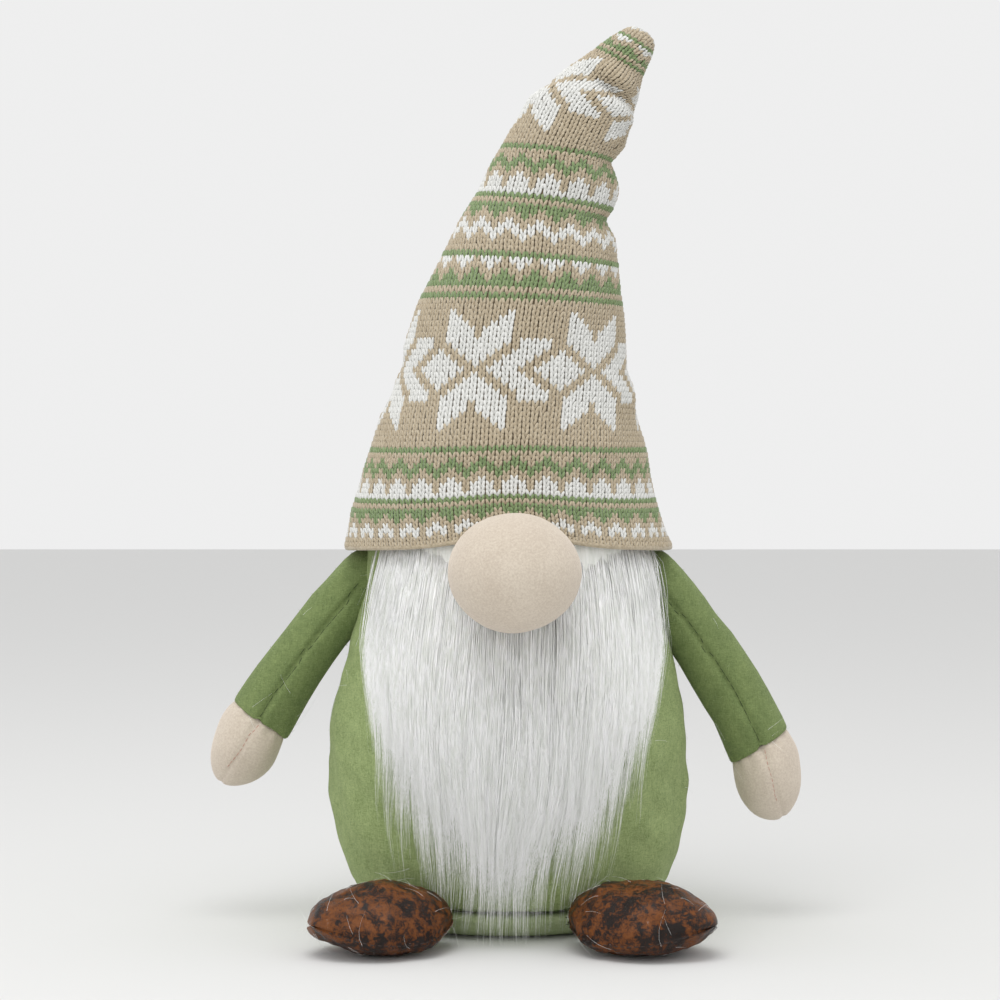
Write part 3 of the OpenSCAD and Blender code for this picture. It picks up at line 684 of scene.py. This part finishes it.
def knit_ground(name, first, last):
    """The cloth behind the stitches, which closes the gaps between them, in a darker tan that is painted shade.
    """
    rows, columns = int((last - first) * 1.5), 144
    bm = bmesh.new()
    bmesh.ops.create_grid(bm, x_segments=columns, y_segments=rows, size=0.5)
    made = piece(name, bm, knit_shadow)
    p, _ = points_of(made)
    angle = p[:, 0] * 2 * math.pi
    row = first + (p[:, 1] + 0.5) * (last - first)
    half = math.pi / 2
    across = np.where(np.abs(angle) <= half, angle, angle - np.sign(angle) * math.pi)
    inner = -0.35 + 0 * angle
    front = knit_surface(across * hat_radius(row), row, inner, False)
    rear = knit_surface(across * hat_radius(row), row, inner, True)
    move_points(made, np.where((np.abs(angle) <= half)[:, None], front, rear))
    bm = bmesh.new()
    bm.from_mesh(made.data)
    bmesh.ops.remove_doubles(bm, verts=bm.verts, dist=0.00002)
    bmesh.ops.holes_fill(bm, edges=[e for e in bm.edges if e.is_boundary], sides=0)
    bmesh.ops.recalc_face_normals(bm, faces=bm.faces)
    bm.to_mesh(made.data)
    bm.free()
    return made


# The tan yarn darkened: painted shade in the gaps between the stitches.
knit_shadow = yarn("knit_shadow", "#85755b", "#695b45")
SPLIT = 45
lower = [knit("hat_knit_lower_front", 0, SPLIT, False), knit("hat_knit_lower_back", 0, SPLIT, True),
         knit_ground("hat_ground_lower", 0.0, SPLIT + 0.4)]
upper = [knit("hat_knit_upper_front", SPLIT, 113, False), knit("hat_knit_upper_back", SPLIT, 113, True),
         knit_ground("hat_ground_upper", SPLIT - 0.4, 114.0)]
for made in lower:
    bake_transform(made)
for made in upper:
    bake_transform(made)
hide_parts("hat_lower")
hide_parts("hat_fill_lower")
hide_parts("hat_middle", "hat_tip")
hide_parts("hat_fill_middle", "hat_fill_tip")

# The hem: the cloth turns in at the brim, so its edge is a soft tan roll.
bm = bmesh.new()
bmesh.ops.create_circle(bm, cap_ends=False, segments=8, radius=1.0)
bmesh.ops.rotate(bm, cent=(0, 0, 0), matrix=Matrix.Rotation(math.pi / 2, 3, "X"), verts=bm.verts)
bmesh.ops.translate(bm, vec=(70, 0, 0), verts=bm.verts)
bmesh.ops.spin(bm, geom=bm.verts[:] + bm.edges[:], cent=(0, 0, 0), axis=(0, 0, 1), angle=2 * math.pi,
               steps=180, use_merge=True)
bmesh.ops.recalc_face_normals(bm, faces=bm.faces)
hem = piece("hat_hem_roll", bm, tan_yarn)
p, _ = points_of(hem)
angle = np.arctan2(p[:, 0], -p[:, 1])
out = np.hypot(p[:, 0], p[:, 1]) - 70
edge = hat_place(angle, 0 * angle)
roll = [np.sin(angle) * (out - 0.6), -np.cos(angle) * (out - 0.6), p[:, 2] * 1.1 + 0.4]
move_points(hem, edge + np.stack(roll, axis=1))
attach(hem, "root")
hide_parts("hat_hem")

# ---- Beard ------------------------------------------------------------------
# White long-pile acrylic fur on a knitted backing, sewn on under the brim and the nose.
# The pile is straight and soft, and hangs in thin locks whose ends thin out to single hairs.

# Height, the middle of the beard across, and its half width, in millimetres.
BEARD_SPREAD = [(4, -3, 46), (28, -2, 52), (48, -1, 56), (66, 0, 59), (84, 1, 61), (105, 2, 63), (126, 3, 63),
                (150, 4, 59), (170, 4, 54)]


def fur_fibre(name, code, deep_code):
    """Fine modacrylic pile: white, soft, and slightly glossy along each hair."""
    material, shader = new_material(name)
    place = add(material, "ShaderNodeTexCoord").outputs["Object"]
    drawn = add(material, "ShaderNodeMapping", {"Vector": place}, {"Scale": (1.0, 1.0, 0.12)})
    shade = add(material, "ShaderNodeTexNoise", {"Vector": drawn.outputs[0]},
                {"Scale": 1 / (1.6 * MM), "Detail": 3.0})
    ramp = add(material, "ShaderNodeValToRGB", {"Fac": shade.outputs[0]})
    ramp.color_ramp.elements[0].position = 0.35
    ramp.color_ramp.elements[0].color = colour(deep_code)
    ramp.color_ramp.elements[1].position = 0.6
    ramp.color_ramp.elements[1].color = colour(code)
    material.node_tree.links.new(ramp.outputs[0], shader.inputs["Base Color"])
    shader.inputs["Roughness"].default_value = 0.5
    shader.inputs["Sheen Weight"].default_value = 0.4
    shader.inputs["Sheen Roughness"].default_value = 0.4
    return material


def hair_radius(z):
    """How far out the pile hangs: along the sack at the top, and straight down from the belly."""
    return np.where(z > 72, sack_radius(np.maximum(z, 72)), 82 - 0.0009 * (72 - z) ** 2)


def hair_shape(lengths, end):
    """One hair: a long three-sided cone, cut into enough lengths to bend.

    Real pile is about 0.05 mm thick, too fine to show, so a hair stands for several.
    """
    bm = bmesh.new()
    bmesh.ops.create_cone(bm, cap_ends=False, segments=3, radius1=1, radius2=end, depth=1)
    long_edges = [e for e in bm.edges if abs(e.verts[0].co.z - e.verts[1].co.z) > 0.5]
    bmesh.ops.subdivide_edges(bm, edges=long_edges, cuts=lengths - 1)
    return bm


def around_beard(x, out):
    """The angle round the body of something across by x and out from its axis."""
    return np.arcsin(np.clip(x / np.maximum(out, 1), -0.97, 0.97))


def hanging_hair(name, seed, locks, per_lock, root_range, lift_range, drop, spread, size, material):
    """Hanging hairs in locks, each with its own root, length and wave, drawn together at its end."""
    rng = np.random.default_rng(seed)
    count = locks * per_lock
    made, p = copies(name, hair_shape(8, 0.25), count, material)
    lock = np.repeat(np.arange(locks), per_lock)
    heights, middle, half = np.array(BEARD_SPREAD, float).T
    root_z = rng.uniform(*root_range, locks)[lock]
    side = np.clip(rng.uniform(-1.03, 1.03, locks), -1, 1)[lock]
    root_z = root_z + (168 - root_z) * side**4
    lift = rng.uniform(*lift_range, locks)[lock]
    tip_z = drop + 74 * np.abs(side) ** 2.3 + (rng.uniform(0, 1, locks) ** 1.4)[lock] * 36
    tip_z = np.clip(tip_z, 4 + 6 * np.abs(side), root_z - 26)
    wave = rng.uniform(-1, 1, (locks, 5))[lock]
    own = rng.normal(size=(count, 3))
    kink = rng.uniform(-1, 1, (count, 3, 1))
    long = rng.uniform(0.62, 1.05, count) ** 0.7
    t = p[..., 2] + 0.5
    t = np.clip((t - t.min()) / (t.max() - t.min()), 0, 1) * long[:, None]
    z = np.maximum(root_z[:, None] + (tip_z - root_z)[:, None] * t, 1.5)
    x = np.interp(z, heights, middle) + side[:, None] * np.interp(z, heights, half)
    flow = lumps(np.stack([x, 0 * x + 9 * wave[:, 4, None], 0.45 * z], axis=-1), 42, 56)
    x = x + 3.4 * flow * t + wave[:, 0, None] * 2.6 * np.sin(t * 4.5 + 3 * wave[:, 1, None]) * t
    x = x + own[:, 0, None] * spread * (2.3 * (1 - 0.85 * t ** 1.3) + 0.22)
    x = x + 1.1 * kink[:, 0] * np.sin(t * (6 + 2 * kink[:, 1]) + 3 * kink[:, 2]) * t
    rise = np.clip(t / 0.12, 0, 1)
    out = hair_radius(z) + 0.8 + lift[:, None] * rise + own[:, 1, None] * (0.5 * (1 - 0.5 * t)) * rise
    out = out + (wave[:, 2, None] * 0.9 * np.sin(t * 5 + wave[:, 3, None] * 3) + 0.9 * flow) * rise
    a = around_beard(x, out)
    taper = (1 + 0.25 * own[:, 2].clip(-1, 1))[:, None] * (1 - 0.8 * (t / long[:, None]) ** 2)
    across, deep = p[..., 0] * taper * size, p[..., 1] * taper * min(size, 0.3) * 0.35
    place = np.stack([out * np.sin(a) + across * np.cos(a) + deep * np.sin(a),
                      -out * np.cos(a) + across * np.sin(a) - deep * np.cos(a), z], axis=-1)
    move_points(made, place.reshape(-1, 3))
    return made


white_fur = fur_fibre("white_fur", "#ffffff", "#eceee9")
fur_ground = fur_fibre("fur_ground", "#f4f5f1", "#dfe2db")
beard = [hanging_hair("beard_under", 51, 120, 25, (90, 160), (0.6, 2.4), 14, 1.0, 0.30, white_fur),
         hanging_hair("beard_wisps", 52, 120, 17, (120, 174), (2.8, 4.4), 14, 1.1, 0.50, white_fur),
         hanging_hair("beard_top", 53, 90, 44, (150, 178), (3.6, 6.2), 3, 0.95, 0.24, white_fur),
         hanging_hair("beard_fringe", 55, 110, 11, (100, 170), (1.5, 4.0), -18, 0.6, 0.24, white_fur),
         hanging_hair("beard_strays", 54, 200, 2, (100, 168), (2.0, 8.0), 8, 3.0, 0.18, white_fur)]

# The close white underfur: a sheet just under the long hairs, ridged like the locks over it.
bm = bmesh.new()
bmesh.ops.create_grid(bm, x_segments=130, y_segments=110, size=0.5)
underfur = piece("beard_underfur", bm, fur_ground)
p, _ = points_of(underfur)
heights, middle, half = np.array(BEARD_SPREAD, float).T
side, down = p[:, 0] * 2, 0.5 - p[:, 1]
end_z = (34 + 50 * np.abs(side) ** 2.3 + 10 * np.abs(np.sin(side * 11))
         + 5 * np.abs(np.sin(side * 29 + 1)))
z = 177 + (end_z - 177) * down
x = np.interp(z, heights, middle) + side * (np.interp(z, heights, half) - 3)
thick = (1 - side**6) * (1 - down**4)
ridges = np.sin(x * 0.55 + 1.6 * np.sin(z / 23 + 1)) + 0.6 * np.sin(x * 1.25 + 1.3 * np.sin(z / 15))
out = hair_radius(z) + 0.5 + thick * (3.3 + 0.45 * ridges)
a = around_beard(x, out)
move_points(underfur, np.stack([out * np.sin(a), -out * np.cos(a), z], axis=1))
underfur.data.flip_normals()
beard.append(underfur)
for made in beard:
    # Light passes through such fine pale pile, so its hairs cast no hard shadows on each other.
    made.visible_shadow = made in (beard[0], underfur)
    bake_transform(made)
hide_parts("beard_root_pile", "beard_fall_pile")
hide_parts("beard_backing", "beard_fall_backing")

# ---- Shoes ------------------------------------------------------------------
# Two leaf-shaped pillows of coated leather cloth, an upper and a sole sewn edge to edge
# and turned. The coating is rubbed and cracked, so dark brown shows through the tan.

# Length, width, and the upper's and the sole's height above and below the seam.
SHOES = {"left": (69.0, 53.0, 23.0, 7.2), "right": (66.0, 51.0, 22.5, 7.2)}
HEEL_AT, HEEL_TURN, TOE_OUT = 75.5, math.radians(71), math.radians(29.5)


def rubbed_and_glinting_leather(name):
    """Distressed coated cloth: blotched tan over black-brown, with pale specks of painted highlight and a waxy,
    creased surface.
    """
    material, shader = new_material(name)
    place = add(material, "ShaderNodeTexCoord").outputs["Object"]
    blotch = add(material, "ShaderNodeTexNoise", {"Vector": place},
                 {"Scale": 1 / (10 * MM), "Detail": 7.0, "Roughness": 0.65, "Distortion": 0.5})
    crack = add(material, "ShaderNodeTexNoise", {"Vector": place},
                {"Scale": 1 / (2.4 * MM), "Detail": 9.0, "Roughness": 0.75, "Distortion": 1.0})
    wear_and_glint = add(material, "ShaderNodeMix", {"A": blotch.outputs[0], "B": crack.outputs[0]},
               {"Factor": 0.5})
    ramp = add(material, "ShaderNodeValToRGB", {"Fac": wear_and_glint.outputs[0]})
    ramp.color_ramp.elements[0].position = 0.45
    ramp.color_ramp.elements[0].color = colour("#170b05")
    ramp.color_ramp.elements[1].position = 0.475
    ramp.color_ramp.elements[1].color = colour("#2b150a")
    # The palest stop, #aa9c92, is painted highlight: glints of the glossy coating, painted in as pale specks.
    for place_at, code in ((0.505, "#59300f"), (0.56, "#734016"), (0.63, "#7a4924"),
                           (0.655, "#aa9c92")):
        ramp.color_ramp.elements.new(place_at).color = colour(code)
    rough = add(material, "ShaderNodeMapRange", {"Value": crack.outputs[0]},
                {"From Min": 0.38, "From Max": 0.62, "To Min": 0.30, "To Max": 0.66})
    bump = add(material, "ShaderNodeBump", {"Height": crack.outputs[0]},
               {"Strength": 0.9, "Distance": 0.7 * MM})
    material.node_tree.links.new(ramp.outputs[0], shader.inputs["Base Color"])
    material.node_tree.links.new(rough.outputs[0], shader.inputs["Roughness"])
    material.node_tree.links.new(bump.outputs[0], shader.inputs["Normal"])
    shader.inputs["IOR"].default_value = 1.33
    shader.inputs["Coat Weight"].default_value = 0.10
    shader.inputs["Coat Roughness"].default_value = 0.18
    return material


leather = rubbed_and_glinting_leather("rubbed_and_glinting_leather")
brown_thread = thread("brown_thread", "#2a1b14")
shoes = {}
for side, name in ((1, "left"), (-1, "right")):
    length, width, high, deep = SHOES[name]
    bow = (length**2 + width**2) / (4 * width)
    heel = Matrix.Rotation(-HEEL_TURN, 4, "Z") @ Matrix.Translation((HEEL_AT, 0, 0))
    toe = Matrix.Rotation(HEEL_TURN - TOE_OUT, 4, "Z")
    to_figure = np.array(Matrix.Diagonal((side, 1, 1, 1)) @ heel @ toe)

    def leaf(along, round_by):
        """The pillow's surface: along is -1 at the heel and 1 at the toe; round_by goes round it."""
        half = length / 2
        x = half * along
        wide = np.sqrt(np.maximum(bow**2 - x**2, 0)) - bow + width / 2
        full = np.clip(wide / (width / 2), 0, 1) ** 1.05
        s, c = np.sin(round_by), np.cos(round_by)
        seam_z = 7.6 + 6.5 * np.abs(along) ** 2.4
        z = seam_z + np.where(s > 0, high * full * np.abs(s) ** 0.9, -deep * full * np.abs(s) ** 0.8)
        y = wide * c
        return np.stack([x + half + 1.2, y, np.maximum(z, 0.15)], axis=-1)

    bm = bmesh.new()
    bmesh.ops.create_uvsphere(bm, u_segments=96, v_segments=48, radius=1.0)
    bmesh.ops.rotate(bm, cent=(0, 0, 0), matrix=Matrix.Rotation(math.pi / 2, 3, "Y"), verts=bm.verts)
    shoe = piece("shoe_" + name, bm, leather)
    p, _ = points_of(shoe)
    unit = p / np.maximum(np.linalg.norm(p, axis=1, keepdims=True), 1e-9)
    along = np.clip(unit[:, 0], -1, 1)
    turn = np.arctan2(unit[:, 2], unit[:, 1])
    move_points(shoe, leaf(along, turn))
    p, n = points_of(shoe)
    seam_near = np.exp(-(np.sin(turn) / 0.12) ** 2)
    wrinkle = np.sin(p[:, 0] * 1.15 + 3 * np.sin(p[:, 0] * 0.31))
    creases = wrinkle * np.exp(-(np.sin(turn) / 0.35) ** 2)
    tips = np.abs(along) ** 4
    p += n * (0.8 * lumps(p, 19, 61 + side) + 0.5 * lumps(p, 6, 63) * (1 - tips) - 1.0 * seam_near
              + 0.55 * creases * (1 - tips))[:, None]
    p[:, 2] = np.maximum(p[:, 2], 0.1)
    move_points(shoe, p @ to_figure[:3, :3].T + to_figure[:3, 3])
    if side < 0:
        shoe.data.flip_normals()
    steps = np.linspace(-0.86, 0.86, 22)
    line = leaf(steps, np.full_like(steps, math.pi + 0.05)) @ to_figure[:3, :3].T + to_figure[:3, 3]
    seam_at = at_surface(shoe, line, 0.5)
    ways = np.gradient(seam_at, axis=0)
    sewn = thread_stitches("shoe_seam_thread_" + name, seam_at,
                           ways / np.linalg.norm(ways, axis=1, keepdims=True), 2.0, 0.55, brown_thread)
    heel_z = np.array((9.0, 12.0, 15.0))
    line = np.stack([0 * heel_z + 1.0, 0 * heel_z, heel_z], axis=1) @ to_figure[:3, :3].T + to_figure[:3, 3]
    tacks = thread_stitches("shoe_tack_thread_" + name, line, np.tile(to_figure[:3, 0], (3, 1)),
                            4.0, 0.6, green_thread)
    for made, nodes, slot in ((shoe, ("shoe_upper_", "shoe_sole_", "shoe_fill_"), "shoe_leather"),
                              (sewn, ("shoe_seam_",), "brown_thread"),
                              (tacks, ("shoe_tack_",), "brown_thread")):
        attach(made, name + "_shoe")
        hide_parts(*(node + name for node in nodes))
    shoes[name] = shoe

# ---- Loose hairs ------------------------------------------------------------
# Fine white hairs shed by the beard cling to the felt and the shoes, and the felt itself
# stands up in a thin fuzz of its own short fibres.


def fuzz(name, made, count, long, size, lean, seed, material):
    """Short curved fibres that stand on a piece. lean is how far they lie down along it."""
    rng = np.random.default_rng(seed)
    fibres, f = copies(name, hair_shape(4, 0.3), count, material)
    p, n = points_of(made)
    roots = rng.choice(len(p), count)
    up = n[roots]
    side = np.cross(up, rng.normal(size=(count, 3)))
    side /= np.linalg.norm(side, axis=1, keepdims=True)
    turned_side = np.cross(up, side)
    length = long * rng.uniform(0.4, 1.3, count)
    t = f[..., 2] + 0.5
    t = t - t.min()
    bend = rng.normal(size=(count, 1)) * 0.5
    stand = (1 - lean) * np.sin(t * 2.4) * 0.6
    along = (lean * t)[..., None] * side[:, None] + stand[..., None] * up[:, None]
    along = along + (bend * t**2)[..., None] * turned_side[:, None] * lean
    rod = f[..., 0, None] * turned_side[:, None] * size + f[..., 1, None] * up[:, None] * size
    f = p[roots][:, None] + along * length[:, None, None] + rod
    f[..., 2] = np.maximum(f[..., 2], 0.3)
    move_points(fibres, f.reshape(-1, 3))
    return fibres


# The felt's own loose fibres: paler and duller than the cloth, so they only soften its edge.
felt_fuzz, shader = new_material("felt_fuzz")
shader.inputs["Base Color"].default_value = colour("#a9b886")
shader.inputs["Roughness"].default_value = 0.8
for made, body in ((sack, "root"), (sleeves["left"], "left_arm"), (sleeves["right"], "right_arm")):
    count = 1500 if body == "root" else 500
    short = fuzz("fuzz_on_" + made.name, made, count, 2.2, 0.05, 0.45, 71, felt_fuzz)
    shed = fuzz("hairs_on_" + made.name, made, count // 14, 12.0, 0.06, 0.93, 72, white_fur)
    for fibres, slot in ((short, "green_felt"), (shed, "fur_pile")):
        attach(fibres, body)
for name, made in shoes.items():
    shed = fuzz("hairs_on_" + made.name, made, 70, 11.0, 0.06, 0.90, 73, white_fur)
    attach(shed, name + "_shoe")

# ---- Inner pieces -----------------------------------------------------------
# What the covers hide, in its CAD shape: a card disc and a cotton pouch of pellets that
# weigh the base, the hat's steel wire, and the threads that hold the arms and the nose.


def plain(name, code, roughness, grain, metallic=0.0):
    """A plain inner material with a fine grain of a given size in millimetres."""
    material, shader = new_material(name)
    place = add(material, "ShaderNodeTexCoord").outputs["Object"]
    specks = add(material, "ShaderNodeTexNoise", {"Vector": place}, {"Scale": 1 / (grain * MM), "Detail": 3.0})
    bump = add(material, "ShaderNodeBump", {"Height": specks.outputs[0]},
               {"Strength": 0.3, "Distance": 0.2 * grain * MM})
    material.node_tree.links.new(bump.outputs[0], shader.inputs["Normal"])
    shader.inputs["Base Color"].default_value = colour(code)
    shader.inputs["Roughness"].default_value = roughness
    shader.inputs["Metallic"].default_value = metallic
    return material


INNER = {
    plain("grey_card", "#b49a72", 0.9, 1.2): ["base_board"],
    plain("pouch_cotton", "#e8e2d2", 0.9, 0.6): ["weight_pouch"],
    plain("pellets", "#9aa0a4", 0.5, 3.0): ["weight_pellets"],
    plain("hat_wire", "#8d9196", 0.35, 0.5, 1.0): ["hat_wire_lower", "hat_wire_middle", "hat_wire_tip"],
    green_thread: ["shoulder_shank_left", "shoulder_shank_right"],
    pink_thread: ["nose_thread"],
}
for material, nodes in INNER.items():
    for node in nodes:
        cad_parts[node].data.materials.clear()
        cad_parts[node].data.materials.append(material)

low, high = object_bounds()
